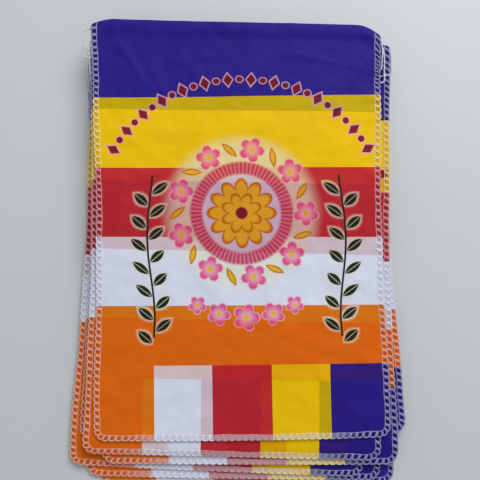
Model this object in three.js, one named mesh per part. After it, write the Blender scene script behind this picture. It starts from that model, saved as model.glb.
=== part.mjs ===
// A string of bunting flags, put away in a pile. Eight striped polyester flags lie one on
// another with their printed faces up, and one thin string runs through the hem of each.
//
// Millimetres. X runs across the flags, Y runs up them from the free edge to the hem, and
// Z is up from the surface that the pile lies on. The origin is under the middle of the pile.

import * as THREE from 'three';

// The cut of one flag, lying flat.
const FLAG_WIDTH = 200;
const FLAG_LENGTH = 290; // from the free edge to the fold of the hem
const CORNER_RADIUS = 8; // of the two corners at the free edge
const WAIST = 3.1; // how far the side stitching draws each side in at the middle
const CLOTH = 1; // thickness of the single cloth

// The hem: the top of the cloth, turned under and sewn down, with the string in it.
const HEM_DEPTH = 12;
const HEM_WALL = 0.5; // each layer of the hem, pressed thinner than the single cloth
const STRING_DIAMETER = 1;
const STRING_PLAY = 0.35; // between the string and the hem, above and below
const HEM_HEIGHT = 2 * HEM_WALL + STRING_DIAMETER + 2 * STRING_PLAY;
const STRING_FROM_FOLD = 3.6;

// How the layers lie. One layer takes BODY_PITCH of height at the free edge, and more and
// more of it up to HEM_PITCH, where hems and string lie between the cloths.
const BODY_PITCH = 1.5;
const HEM_PITCH = 3.05;
const HEM_PITCH_FROM = 218; // up the pile, from the free edge of the uppermost flag
const RIPPLE = { height: 0.18, across: 31, up: 57, skew: 83, shift: 0.6 };
const DROOP = { from: 8, to: 16 }; // below the uppermost flag's free edge

// How the ends of a hem's fold drop. from is a share of half the width.
const DROPPING_END = { from: 0.84, curve: 2 };

// The string between the hems.
const HEM_END = 0.99; // where it begins to bend out of a hem, as a share of half the width
const TUCK = 9; // from the lower of two hems to the string that runs back under a flag
const TUCK_TOP = 4; // the same at the left of the uppermost flag
const LOOP_BEND = 2.5; // radius of the bends in the closest loop beside the flags
const LOOP_OPENING = 0.25; // how much wider a bend is, as a share of a loop's reach
const LOOP_DIP = 6; // length over which a loop goes down to pass under a flag
const TAIL = 60; // length of each end, put away under a flag
const TAIL_TUCK = 9; // between an end and the string that runs back beside it
const STRING_SIDES = 8;
const BEND_STEPS = 3;
const BACK_STEPS = 6; // across the width of a flag

// The flags from the uppermost down. dx and dy shift the middle of the hem, and turn is in
// degrees about it, against the clock. slant is how much lower the fold lies at its right end,
// and drops how far its left and right ends then drop. foot is how much lower the free edge lies
// at its left end, middle and right end, and droop how far it hangs below its layer. loops is
// how far the string stands out beyond the left and the right edge.
const FLAGS = [
  {
    dx: 0.0, dy: -1.5, turn: 0.6, slant: 8.4, drops: [4.5, 7.5],
    foot: [0.3, 1.4, 0.6], droop: 0, loops: [6.5, 1.6],
  },
  {
    dx: -0.3, dy: -13.0, turn: -0.8, slant: 1.5, drops: [2, 3.5],
    foot: [-0.3, 1.4, 2.8], droop: 2, loops: [1.6, 3.8],
  },
  {
    dx: 8.0, dy: -18.5, turn: 0.0, slant: 0.0, drops: [2, 3],
    foot: [0, 1.3, 1.6], droop: 2, loops: [1.6, 1.6],
  },
  {
    dx: 2.2, dy: -3.5, turn: 2.4, slant: 10.0, drops: [2, 12],
    foot: [0, 0, 0], droop: 0, loops: [1.6, 2.0],
  },
  {
    dx: -2.2, dy: -5.0, turn: -1.0, slant: 5.0, drops: [12, 9],
    foot: [0, 0, 0], droop: 0, loops: [1.6, 1.6],
  },
  {
    dx: -3.3, dy: -23.9, turn: -2.35, slant: 0.5, drops: [2, 2],
    foot: [0, 1.2, 1.2], droop: 0, loops: [1.6, 2.0],
  },
  {
    dx: 0.6, dy: -29.0, turn: -0.8, slant: 1.0, drops: [2, 2],
    foot: [0, 1.2, 1.2], droop: 0, loops: [1.6, 1.6],
  },
  {
    dx: 3.0, dy: -34.0, turn: 0.6, slant: 0.5, drops: [2, 2],
    foot: [0, 1.2, 1.2], droop: 0, loops: [7.5, 2.0],
  },
];

// Where a flag's surface is cut into facets: across, as shares of half its width, and up it.
const ACROSS = [-1, -0.96, -0.88, -0.75, -0.5, -0.25, 0, 0.25, 0.5, 0.75, 0.88, 0.96, 1];
const UP = [0, 1.1, 3.5, 8, 14, 36, 64, 92, 120, 148, 176, 204, 232, 256];
const FOOT_UP_TO = 60; // up a flag, where the shape of its free edge no longer shifts the facets
const DIP_FROM = 232; // up a flag, where the dip of its fold begins to shift them

// The section of the hem, from the stitching round the fold: how far back from the fold, and
// how high above the underside of the flag.
const HEM_OUTSIDE = [
  { back: HEM_DEPTH, height: 0 },
  { back: 5, height: 0 },
  { back: 1.2, height: 0 },
  { back: 0.3, height: 0.45 },
  { back: 0, height: HEM_HEIGHT / 2 },
  { back: 0.3, height: HEM_HEIGHT - 0.45 },
  { back: 1.2, height: HEM_HEIGHT },
  { back: 6, height: HEM_HEIGHT },
  { back: 9, height: 1.75 },
  { back: HEM_DEPTH, height: CLOTH },
];
const HEM_INSIDE = [
  { back: 10.4, height: 0.58 },
  { back: 1.7, height: HEM_WALL },
  { back: 0.9, height: HEM_HEIGHT / 2 },
  { back: 1.7, height: HEM_HEIGHT - HEM_WALL },
  { back: 5.9, height: HEM_HEIGHT - HEM_WALL },
  { back: 8.6, height: 1.25 },
];

const CLOTH_FINISH = { color: 0x2d1f86, roughness: 0.62, metalness: 0 };
const STRING_FINISH = { color: 0xeceaf2, roughness: 0.8, metalness: 0 };

const { degToRad, lerp, smoothstep } = THREE.MathUtils;

/** Height of one layer of the pile over a point of the surface below it. */
function pitch(x, y) {
  const waves =
    Math.sin(x / RIPPLE.across + y / RIPPLE.skew) * Math.cos(y / RIPPLE.up - RIPPLE.shift);
  const body = lerp(BODY_PITCH, HEM_PITCH, smoothstep(y, 0, HEM_PITCH_FROM));
  return body + RIPPLE.height * (0.5 + 0.5 * waves);
}

/** Height of a flag's underside over a point. The lowest flag lies flat on the surface. */
function underside(flag, x, y) {
  const layer = FLAGS.length - 1 - FLAGS.indexOf(flag);
  return layer * pitch(x, y) - flag.droop * smoothstep(-y, DROOP.from, DROOP.to);
}

/** How far the fold of a flag's hem dips, at a share of half the width. */
function foldDip(flag, share) {
  const { from, curve } = DROPPING_END;
  const atEnd = Math.max(0, (Math.abs(share) - from) / (1 - from)) ** curve;
  return flag.slant * ((share + 1) / 2) + flag.drops[share < 0 ? 0 : 1] * atEnd;
}

/** How much lower the free edge of a flag lies, at a share of half the width. */
function footDip(flag, share) {
  const [left, middle, right] = flag.foot;
  return middle + (share * (right - left)) / 2 + share ** 2 * ((left + right) / 2 - middle);
}

/** Half the width of a flag at a distance up from its free edge. */
function halfWidth(up) {
  const inCorner = Math.max(0, CORNER_RADIUS - up);
  const rounding = CORNER_RADIUS - Math.sqrt(CORNER_RADIUS ** 2 - inCorner ** 2);
  return FLAG_WIDTH / 2 - rounding - WAIST * Math.sin((Math.PI * up) / FLAG_LENGTH) ** 2;
}

/** A point of a flag: a share of half its width across, a distance up, a height above it. */
function place(flag, share, up, height) {
  const across = share * halfWidth(up);
  const fold = foldDip(flag, share) * smoothstep(up, DIP_FROM, FLAG_LENGTH - HEM_DEPTH);
  const foot = footDip(flag, share) * (1 - smoothstep(up, 0, FOOT_UP_TO));
  const above = up - FLAG_LENGTH - fold - foot;
  const turn = degToRad(flag.turn);
  const x = flag.dx + across * Math.cos(turn) - above * Math.sin(turn);
  const y = FLAG_LENGTH + flag.dy + across * Math.sin(turn) + above * Math.cos(turn);
  return new THREE.Vector3(x, y, underside(flag, x, y) + height);
}

/**
 * A closed body through like sections, each a list of points. Every loop of points in a
 * section runs against the clock as seen from the end of the sweep, and an inward loop is a
 * bore. cap lists the triangles that close the last section.
 */
function sweep(sections, loops, cap) {
  const size = sections[0].length;
  const last = size * (sections.length - 1);
  const faces = [];
  for (let start = 0; start < last; start += size) {
    for (const { first, count, inward } of loops) {
      for (let i = 0; i < count; i++) {
        const a = start + first + i;
        const b = start + first + ((i + 1) % count);
        const [from, to] = inward ? [b, a] : [a, b];
        faces.push(from, to, to + size, from, to + size, from + size);
      }
    }
  }
  for (const [a, b, c] of cap) {
    faces.push(a, c, b, last + a, last + b, last + c);
  }
  const geometry = new THREE.BufferGeometry().setFromPoints(sections.flat());
  geometry.setIndex(faces);
  geometry.computeVertexNormals();
  return geometry;
}

/**
 * The triangles of a flag's side edge, against the clock: pairs up the single cloth, so that
 * the edge follows the way that the cloth lies, and then the hem round its bore.
 */
function sideEdge(outline, bore) {
  const faces = [];
  for (let row = 0; row < UP.length; row++) {
    const above = outline.length - 1 - row;
    faces.push([row, row + 1, above - 1], [row, above - 1, above]);
  }
  const hem = outline.slice(UP.length, UP.length + HEM_OUTSIDE.length);
  const points = [...hem, ...bore];
  for (const face of THREE.ShapeUtils.triangulateShape([...hem], [[...bore]])) {
    const [a, b, c] = face.map((i) => UP.length + i + (i < hem.length ? 0 : UP.length));
    const turned = THREE.ShapeUtils.area(face.map((i) => points[i])) < 0;
    faces.push(turned ? [a, c, b] : [a, b, c]);
  }
  return faces;
}

/** One flag: a single cloth whose top is turned under into a hem that is open at both ends. */
function flagGeometry(flag) {
  const hemPoint = ({ back, height }) => new THREE.Vector2(FLAG_LENGTH - back, height);
  const outline = [
    ...UP.map((up) => new THREE.Vector2(up, 0)),
    ...HEM_OUTSIDE.map(hemPoint),
    ...UP.toReversed().map((up) => new THREE.Vector2(up, CLOTH)),
  ];
  const bore = HEM_INSIDE.map(hemPoint);
  const sections = ACROSS.map((share) =>
    [...outline, ...bore].map(({ x: up, y: height }) => place(flag, share, up, height)),
  );
  const loops = [
    { first: 0, count: outline.length, inward: false },
    { first: outline.length, count: bore.length, inward: true },
  ];
  return sweep(sections, loops, sideEdge(outline, bore));
}

/** A point of the string in a flag's hem, at a share of half the width. */
function inHem(flag, share) {
  return place(flag, share, FLAG_LENGTH - STRING_FROM_FOLD, HEM_HEIGHT / 2);
}

/** A point of the string under a flag, halfway down to the cloth below. */
function under(flag, x, y) {
  return new THREE.Vector3(x, y, underside(flag, x, y) - (pitch(x, y) - CLOTH) / 2);
}

/** The place where the string passes under a flag's side, clear of its hem and the next. */
function underEdge(flag, next, side, tuck) {
  const stitching = [flag, next].map((f) => place(f, side, FLAG_LENGTH - HEM_DEPTH, 0).y);
  const y = Math.min(...stitching) - tuck;
  return under(flag, place(flag, side, y - flag.dy, 0).x, y);
}

/** The string lying under a flag, from one place there up to another. */
function backUnder(flag, from, to) {
  const steps = Math.ceil((BACK_STEPS * from.distanceTo(to)) / FLAG_WIDTH);
  return Array.from({ length: steps }, (_, i) => {
    const { x, y } = from.clone().lerp(to, i / steps);
    return under(flag, x, y);
  });
}

/** A quarter bend of a loop, from its start at the flag's side to its outermost point. */
function bendOut(start, x, y, side, bend, height) {
  const towards = Math.sign(y - start.y);
  return Array.from({ length: BEND_STEPS + 1 }, (_, i) => {
    const angle = (Math.PI / 2) * (i / BEND_STEPS);
    const along = start.y + towards * bend * (1 - Math.cos(angle));
    return new THREE.Vector3(x - side * bend * (1 - Math.sin(angle)), along, height(along));
  });
}

/** A loop of string beside the flags, from the end of a flag's hem to a place under an edge. */
function loopBeside(flag, edge, side) {
  const hem = inHem(flag, side * HEM_END);
  const reach = flag.loops[side < 0 ? 0 : 1];
  const x = side * (Math.max(side * inHem(flag, side).x, side * edge.x) + reach);
  const bend = lerp(LOOP_BEND, reach, LOOP_OPENING);
  const low = edge.y + bend;
  const height = (y) => lerp(edge.z, hem.z, smoothstep(y, low, low + LOOP_DIP));
  const dipping = [0.6, 0.3].map((share) => {
    const y = low + share * LOOP_DIP;
    return new THREE.Vector3(x, y, height(y));
  });
  return [
    ...bendOut(hem, x, edge.y, side, bend, height),
    ...dipping,
    ...bendOut(edge, x, hem.y, side, bend, height).toReversed(),
  ];
}

/** The whole string, from the end put away at the right to the one at the left. */
function stringRoute() {
  const route = [];
  const shares = [HEM_END, ...ACROSS.slice(1, -1).toReversed(), -HEM_END];
  const intoHem = (flag, edge) => route.push(...loopBeside(flag, edge, 1).toReversed());
  const outOfHem = (flag, edge) => {
    route.push(...shares.map((share) => inHem(flag, share)));
    route.push(...loopBeside(flag, edge, -1));
  };

  const [top, second] = FLAGS;
  const startEdge = underEdge(top, second, 1, TUCK);
  const start = under(top, startEdge.x - TAIL, startEdge.y);
  route.push(...backUnder(top, start, startEdge));
  intoHem(top, startEdge);

  for (let n = 0; n < FLAGS.length - 1; n++) {
    const [flag, next] = FLAGS.slice(n);
    const left = underEdge(flag, next, -1, flag === top ? TUCK_TOP : TUCK);
    const right = underEdge(flag, next, 1, flag === top ? TUCK + TAIL_TUCK : TUCK);
    outOfHem(flag, left);
    route.push(...backUnder(flag, left, right).slice(1));
    intoHem(next, right);
  }

  const [above, bottom] = FLAGS.slice(-2);
  const endEdge = underEdge(above, bottom, -1, TUCK + TAIL_TUCK);
  const end = under(above, endEdge.x + TAIL, endEdge.y);
  outOfHem(bottom, endEdge);
  route.push(...backUnder(above, endEdge, end).slice(1), end);
  return route;
}

/** A round cord along a route that never stands upright. */
function cordGeometry(route, diameter) {
  const upright = new THREE.Vector3(0, 0, 1);
  const sections = route.map((point, i) => {
    const before = route[Math.max(i - 1, 0)];
    const after = route[Math.min(i + 1, route.length - 1)];
    const along = after.clone().sub(before).normalize();
    const sideways = upright.clone().cross(along).normalize();
    const upwards = along.clone().cross(sideways);
    return Array.from({ length: STRING_SIDES }, (_, s) => {
      const angle = (2 * Math.PI * (s + 0.5)) / STRING_SIDES;
      return point
        .clone()
        .addScaledVector(sideways, (diameter / 2) * Math.cos(angle))
        .addScaledVector(upwards, (diameter / 2) * Math.sin(angle));
    });
  });
  const cap = Array.from({ length: STRING_SIDES - 2 }, (_, s) => [0, s + 1, s + 2]);
  return sweep(sections, [{ first: 0, count: STRING_SIDES, inward: false }], cap);
}

function piece(name, geometry, finish) {
  const mesh = new THREE.Mesh(geometry, new THREE.MeshStandardMaterial(finish));
  mesh.name = name;
  return mesh;
}

const pile = new THREE.Group();
FLAGS.forEach((flag, n) => {
  pile.add(piece(`flag_${n + 1}`, flagGeometry(flag), CLOTH_FINISH));
});

// The origin is under the middle of the flags.
const middle = new THREE.Box3().setFromObject(pile).getCenter(new THREE.Vector3());
pile.add(piece('string', cordGeometry(stringRoute(), STRING_DIAMETER), STRING_FINISH));
pile.position.set(-middle.x, -middle.y, 0);

const group = new THREE.Group();
group.add(pile);

export default group;
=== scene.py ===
"""The looks of a string of bunting flags, put away in a pile.

Eight flags of printed polyester knit lie on one another. Each is overlocked in white thread
along three edges, and hemmed at the top over one thin string that runs through them all.

Lengths are in millimetres until MM turns them into metres for a mesh. X runs across the
flags, Y up them from the free edge to the hem, and Z up from the surface below.
"""

import math
from typing import NamedTuple

import bpy
import numpy as np
from mathutils import Matrix, Vector


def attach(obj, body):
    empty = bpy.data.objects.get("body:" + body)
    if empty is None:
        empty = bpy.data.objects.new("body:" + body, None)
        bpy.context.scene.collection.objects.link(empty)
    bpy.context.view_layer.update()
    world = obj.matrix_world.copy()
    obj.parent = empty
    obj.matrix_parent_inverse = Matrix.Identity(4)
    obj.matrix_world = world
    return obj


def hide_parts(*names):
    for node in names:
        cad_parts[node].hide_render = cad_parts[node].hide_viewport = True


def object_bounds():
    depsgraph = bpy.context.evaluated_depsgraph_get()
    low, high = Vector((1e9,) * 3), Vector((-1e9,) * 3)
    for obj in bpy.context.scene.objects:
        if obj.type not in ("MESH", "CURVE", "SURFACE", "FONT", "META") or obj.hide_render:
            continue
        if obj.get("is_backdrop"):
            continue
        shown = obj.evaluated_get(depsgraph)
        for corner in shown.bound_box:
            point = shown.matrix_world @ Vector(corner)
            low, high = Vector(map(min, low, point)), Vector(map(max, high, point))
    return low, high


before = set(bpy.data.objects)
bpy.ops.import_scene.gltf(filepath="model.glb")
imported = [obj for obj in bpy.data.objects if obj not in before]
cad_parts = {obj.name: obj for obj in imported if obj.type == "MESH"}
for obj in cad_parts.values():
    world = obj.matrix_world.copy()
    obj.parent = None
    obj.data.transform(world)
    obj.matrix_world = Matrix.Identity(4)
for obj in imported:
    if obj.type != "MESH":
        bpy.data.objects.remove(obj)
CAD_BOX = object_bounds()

bl_info = {
    "name": "String of bunting flags",
    "version": (1, 0, 0),
    "blender": (4, 5, 0),
    "location": "3D View > Sidebar > Bunting",
    "description": "Sews a pile of striped flags on a string, and sets a plain stage for it",
    "category": "Add Mesh",
}

MM = 0.001
MIDDLE = (-0.42887, 125.77794)  # of the flags' box, which the origin lies under

# The cut of one flag, and how the part's layers lie, as in the part's own source.
FLAG_WIDTH = 200
FLAG_LENGTH = 290
CORNER_RADIUS = 8
WAIST = 3.1
CLOTH = 1
HEM_DEPTH = 12
HEM_HEIGHT = 2.7
STRING_FROM_FOLD = 3.6
BODY_PITCH = 1.5
HEM_PITCH = 3.05
HEM_PITCH_FROM = 218
FOOT_UP_TO = 60
DROOP_FROM = 8
DROOP_TO = 16
DIP_FROM = 232
DROP_FROM = 0.84

# The string between the hems, as in the part's own source.
HEM_END = 0.99
TUCK = 9
TUCK_TOP = 4
LOOP_BEND = 2.5
LOOP_OPENING = 0.25
LOOP_DIP = 6
TAIL = 60
TAIL_TUCK = 9
BEND_STEPS = 3
BACK_STEPS = 6
HEM_SHARES = (0.96, 0.88, 0.75, 0.5, 0.25, 0, -0.25, -0.5, -0.75, -0.88, -0.96)


class Flag(NamedTuple):
    """One flag's place in the pile, and how far its print sits off its middle."""

    layer: int  # up from the surface
    dx: float
    dy: float
    turn: float  # in degrees
    slant: float  # how much lower the fold's right end lies
    drops: tuple  # of the fold's left end and its right end
    foot: tuple  # how much lower the free edge lies at its left, middle and right
    droop: float  # how far it sinks where it hangs out over the flags below
    loops: tuple  # how far the string's loop stands out at its left and at its right
    print_shift: float
    print_rise: float


# The uppermost first.
FLAGS = (
    Flag(7, 0.0, -1.5, 0.6, 8.4, (4.5, 7.5), (0.3, 1.4, 0.6), 0, (6.5, 1.6), 0.0, 1.5),
    Flag(6, -0.3, -13.0, -0.8, 1.5, (2, 3.5), (-0.3, 1.4, 2.8), 2, (1.6, 3.8), -1.2, 3.0),
    Flag(5, 8.0, -18.5, 0.0, 0.0, (2, 3), (0, 1.3, 1.6), 2, (1.6, 1.6), 4.2, 3.0),
    Flag(4, 2.2, -3.5, 2.4, 10.0, (2, 12), (0, 0, 0), 0, (1.6, 2.0), 0.0, -2.8),
    Flag(3, -2.2, -5.0, -1.0, 5.0, (12, 9), (0, 0, 0), 0, (1.6, 1.6), 0.0, -6.0),
    Flag(2, -3.3, -23.9, -2.35, 0.5, (2, 2), (0, 1.2, 1.2), 0, (1.6, 2.0), 4.0, 8.0),
    Flag(1, 0.6, -29.0, -0.8, 1.0, (2, 2), (0, 1.2, 1.2), 0, (1.6, 1.6), 3.0, 0.0),
    Flag(0, 3.0, -34.0, 0.6, 0.5, (2, 2), (0, 1.2, 1.2), 0, (7.5, 2.0), -3.0, 0.0),
)
TOP = FLAGS[0]

# The middle of the cloth's thickness, from the free edge round the fold of the hem and back:
# how far up the flag, and how high above the flag's underside.
CLOTH_LINE = np.array(
    [
        (0, 0.5), (270, 0.5), (276, 0.54), (278, 0.62), (279.5, 0.92), (281, 1.4),
        (282.5, 1.82), (284, 2.05), (285.5, 2.17), (286.4, 2.2), (287.4, 2.16), (288.4, 2.02),
        (289.2, 1.77), (289.7, 1.45), (289.85, 1.1), (289.7, 0.75), (289.1, 0.46), (288, 0.31),
        (286, 0.25), (283, 0.25), (280, 0.25), (278, 0.25),
    ]
)  # fmt: skip
LINE_STEPS = np.diff(CLOTH_LINE, axis=0)
LINE_ALONG = np.concatenate([[0], np.cumsum(np.hypot(*LINE_STEPS.T))])
LINE_GOING = np.gradient(CLOTH_LINE, LINE_ALONG, axis=0)
LINE_OUT = np.stack([-LINE_GOING[:, 1], LINE_GOING[:, 0]], axis=1)
LINE_OUT /= np.hypot(*LINE_OUT.T)[:, None]


def smooth(value, low, high):
    """0 below low and 1 above high, with a smooth rise between."""
    share = np.clip((value - low) / (high - low), 0, 1)
    return share * share * (3 - 2 * share)


def pitch(x, y):
    """Height of one layer of the pile over a point of the surface below it."""
    waves = np.sin(x / 31 + y / 83) * np.cos(y / 57 - 0.6)
    body = BODY_PITCH + (HEM_PITCH - BODY_PITCH) * smooth(y, 0, HEM_PITCH_FROM)
    return body + 0.18 * (0.5 + 0.5 * waves)


def underside(flag, x, y):
    """Height of a flag's underside over a point."""
    return flag.layer * pitch(x, y) - flag.droop * smooth(-y, DROOP_FROM, DROOP_TO)


def fold_dip(flag, share):
    """How far the fold of a flag's hem dips, at a share of half the width."""
    at_end = np.clip((abs(share) - DROP_FROM) / (1 - DROP_FROM), 0, None) ** 2
    return flag.slant * (share + 1) / 2 + np.where(share < 0, *flag.drops) * at_end


def foot_dip(flag, share):
    """How much lower a flag's free edge lies, at a share of half the width."""
    left, middle, right = flag.foot
    return middle + share * (right - left) / 2 + share**2 * ((left + right) / 2 - middle)


def dips(flag, across, up):
    """How far the shape of its hem and its free edge shift a point of a flag down it."""
    share = across / half_width(up)
    fold = fold_dip(flag, share) * smooth(up, DIP_FROM, FLAG_LENGTH - HEM_DEPTH)
    return fold + foot_dip(flag, share) * (1 - smooth(up, 0, FOOT_UP_TO))


def half_width(up):
    """Half the width of a flag at a distance up from its free edge."""
    in_corner = np.clip(CORNER_RADIUS - up, 0, CORNER_RADIUS)
    rounding = CORNER_RADIUS - np.sqrt(CORNER_RADIUS**2 - in_corner**2)
    return FLAG_WIDTH / 2 - rounding - WAIST * np.sin(np.pi * up / FLAG_LENGTH) ** 2


def place(flag, across, up, height):
    """A point of a flag: so far across from its middle, up from its free edge, and high."""
    above = up - FLAG_LENGTH - dips(flag, across, up)
    turn = math.radians(flag.turn)
    x = flag.dx + across * math.cos(turn) - above * math.sin(turn)
    y = FLAG_LENGTH + flag.dy + across * math.sin(turn) + above * math.cos(turn)
    return np.stack([x, y, underside(flag, x, y) + height], axis=-1)


def on_flag(flag, x, y):
    """The way back from a point of the pile: how far across a flag it is, and how far up."""
    turn = math.radians(flag.turn)
    dx = x - flag.dx
    dy = y - FLAG_LENGTH - flag.dy
    across = dx * math.cos(turn) + dy * math.sin(turn)
    above = dy * math.cos(turn) - dx * math.sin(turn)
    up = above + FLAG_LENGTH
    for _ in range(3):
        up = above + FLAG_LENGTH + dips(flag, across, up)
    return across, up


# Soft creases of the uppermost flag: across, up, heading in degrees, length, width, height.
CREASES = (
    (-72, 258, -58, 26, 3.0, 0.80),
    (-54, 243, -62, 22, 2.4, 0.60),
    (-30, 262, 8, 34, 3.5, 0.45),
    (58, 263, -14, 30, 3.0, 0.75),
    (80, 243, 64, 18, 2.4, 0.90),
    (70, 218, 96, 20, 2.6, 0.60),
    (22, 246, 70, 18, 2.6, 0.50),
    (4, 212, 4, 60, 6.0, 0.45),
    (-82, 150, 84, 40, 4.0, 0.45),
    (-58, 24, 66, 22, 2.6, 0.50),
    (72, 22, -46, 24, 2.6, 0.60),
    (40, 66, -20, 46, 5.0, 0.40),
)

# Fine crinkles of the same cloth, in rows that come and go: heading in degrees, distance
# between them, width as a share of it, height, and how far the patches are shifted.
CRINKLES = (
    (24, 23, 0.16, 0.24, 0.0),
    (-38, 31, 0.14, 0.28, 2.1),
    (82, 27, 0.15, 0.22, 4.0),
)


# How far the sides of a cloth waver, and how high the pile swells here and there.
WAVER = 0.35
SWELL = 0.6

# What is left of a thread's height above and below the cloth, and how much less of it there
# is under the fold of a hem.
ABOVE_LEFT = 0.62
BELOW_LEFT = 0.42
LESS_UNDER = 0.65


def puckers(flag, across, along):
    """Height of the puckers that the stitching leaves along a flag's edges."""
    inward = half_width(np.minimum(along, FLAG_LENGTH)) - np.abs(across)
    beat = along / 8.3 + 1.3 * np.sin(along / 21) + 1.7 * flag.layer
    ripple = 0.5 + 0.3 * np.sin(2 * np.pi * beat) + 0.2 * np.sin(beat * 9.7 + 2)
    strong = 0.10
    if flag is TOP:
        right = np.where(across > 0, 1.0, 0.3)
        strong = 0.14 + 1.15 * right * smooth(along, 196, 236)
    return strong * ripple * np.exp(-((np.clip(inward, 0, None) / 8) ** 2))


def creases(across, along):
    """Height of the soft creases and the fine crinkles of the uppermost flag."""
    height = 0
    for middle, up, heading, length, width, rise in CREASES:
        angle = math.radians(heading)
        dx, dy = across - middle, along - up
        down_it = (dx * math.cos(angle) + dy * math.sin(angle)) / length
        beside = (dy * math.cos(angle) - dx * math.sin(angle)) / width
        height = height + rise * np.exp(-(down_it**2) - beside**2)
    for heading, apart, width, rise, shift in CRINKLES:
        angle = math.radians(heading)
        down_it = across * math.cos(angle) + along * math.sin(angle)
        beside = along * math.cos(angle) - across * math.sin(angle)
        row = beside / apart + 0.3 * np.sin(down_it / 19 + beside / 41 + shift)
        off = np.abs(row - np.rint(row)) / width
        patch = smooth(np.sin(down_it / 17 + 2.4 * np.rint(row) + shift), 0.0, 0.9)
        height = height + rise * patch * np.exp(-(off**2))
    return height


def pressed(along, height):
    """How far out from the cloth a thread lies, once the flags above have pressed it flat."""
    under = smooth(along, LINE_ALONG[13], LINE_ALONG[17])
    return height * np.where(height < 0, BELOW_LEFT, ABOVE_LEFT) * (1 - LESS_UNDER * under)


def lie(flag, across, along, height=0.0):
    """A point of the cloth as it lies: so far across it and along it, and out from its middle."""
    share = across / (FLAG_WIDTH / 2)
    across = across + WAVER * share**9 * np.sin(along / 13 + 2.4 * flag.layer)
    out_up = np.interp(along, LINE_ALONG, LINE_OUT[:, 0])
    out_lift = np.interp(along, LINE_ALONG, LINE_OUT[:, 1])
    up = np.interp(along, LINE_ALONG, CLOTH_LINE[:, 0]) + height * out_up
    up = up + np.minimum(along, 0)
    lift = np.interp(along, LINE_ALONG, CLOTH_LINE[:, 1]) + height * out_lift
    lift = lift + puckers(flag, across, along)
    if flag is TOP:
        lift = lift + creases(across, np.minimum(along, FLAG_LENGTH - HEM_DEPTH))
    points = place(flag, across, up, lift)
    x, y = points[..., 0], points[..., 1]
    swell = 0.5 + 0.5 * np.sin(x / 27 + y / 64 + 0.8) * np.sin(y / 39 - x / 110)
    points[..., 2] += SWELL * swell * flag.layer / TOP.layer
    return points


def metres(points):
    """Points of the pile in the part's frame, in metres."""
    return (points - np.array([*MIDDLE, 0])) * MM


def print_place(flag, across, up):
    """Where a point of a flag falls on the print, which is a little askew on the cloth."""
    askew = 0.017 * across * np.sin(np.pi * np.clip(up, 0, FLAG_LENGTH) / FLAG_LENGTH) ** 2
    return np.stack([across - flag.print_shift, up + askew - flag.print_rise], axis=-1)


# The string's route.


def in_hem(flag, share):
    """A point of the string in a flag's hem, at a share of half the width."""
    up = FLAG_LENGTH - STRING_FROM_FOLD
    return place(flag, share * half_width(up), up, HEM_HEIGHT / 2)


def under(flag, x, y):
    """A point of the string under a flag, halfway down to the cloth below."""
    return np.array([x, y, underside(flag, x, y) - (pitch(x, y) - CLOTH) / 2])


def under_edge(flag, following, side, tuck):
    """Where the string passes under a flag's side, clear of its hem and the next."""
    up = FLAG_LENGTH - HEM_DEPTH
    y = min(place(each, side * half_width(up), up, 0)[1] for each in (flag, following)) - tuck
    up = y - flag.dy
    return under(flag, place(flag, side * half_width(up), up, 0)[0], y)


def back_under(flag, start, end):
    """The string lying under a flag, from one place there up to another."""
    steps = math.ceil(BACK_STEPS * np.linalg.norm(end - start) / FLAG_WIDTH)
    return [under(flag, *(start + (end - start) * i / steps)[:2]) for i in range(steps)]


def bend_out(start, x, y, side, bend, height):
    """A quarter bend of a loop, from its start at the flag's side to its outermost point."""
    points = []
    for step in range(BEND_STEPS + 1):
        angle = math.pi / 2 * step / BEND_STEPS
        along = start[1] + math.copysign(bend * (1 - math.cos(angle)), y - start[1])
        points.append(np.array([x - side * bend * (1 - math.sin(angle)), along, height(along)]))
    return points


def loop_beside(flag, edge, side):
    """A loop of string beside the flags, from the end of a flag's hem to a place under an edge."""
    hem = in_hem(flag, side * HEM_END)
    reach = flag.loops[0 if side < 0 else 1]
    x = side * (max(side * in_hem(flag, side)[0], side * edge[0]) + reach)
    bend = LOOP_BEND + (reach - LOOP_BEND) * LOOP_OPENING
    low = edge[1] + bend

    def height(y):
        return edge[2] + (hem[2] - edge[2]) * smooth(y, low, low + LOOP_DIP)

    dipping = [low + share * LOOP_DIP for share in (0.6, 0.3)]
    return [
        *bend_out(hem, x, edge[1], side, bend, height),
        *[np.array([x, y, height(y)]) for y in dipping],
        *reversed(bend_out(edge, x, hem[1], side, bend, height)),
    ]


def out_of_hem(flag, edge):
    """The string through a flag's hem, and round to a place under its left edge."""
    shares = (HEM_END, *HEM_SHARES, -HEM_END)
    return [in_hem(flag, share) for share in shares] + loop_beside(flag, edge, -1)


def string_route():
    """The whole string, from the end put away at the right to the one at the left."""
    edge = under_edge(TOP, FLAGS[1], 1, TUCK)
    route = back_under(TOP, under(TOP, edge[0] - TAIL, edge[1]), edge)
    route += reversed(loop_beside(TOP, edge, 1))
    for flag, following in zip(FLAGS, FLAGS[1:]):
        left = under_edge(flag, following, -1, TUCK_TOP if flag is TOP else TUCK)
        right = under_edge(flag, following, 1, TUCK + TAIL_TUCK if flag is TOP else TUCK)
        route += out_of_hem(flag, left)
        route += back_under(flag, left, right)[1:]
        route += reversed(loop_beside(following, right, 1))
    above, bottom = FLAGS[-2:]
    edge = under_edge(above, bottom, -1, TUCK + TAIL_TUCK)
    end = under(above, edge[0] + TAIL, edge[1])
    route += out_of_hem(bottom, edge)
    return np.array([*route, *back_under(above, edge, end)[1:], end])


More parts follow.
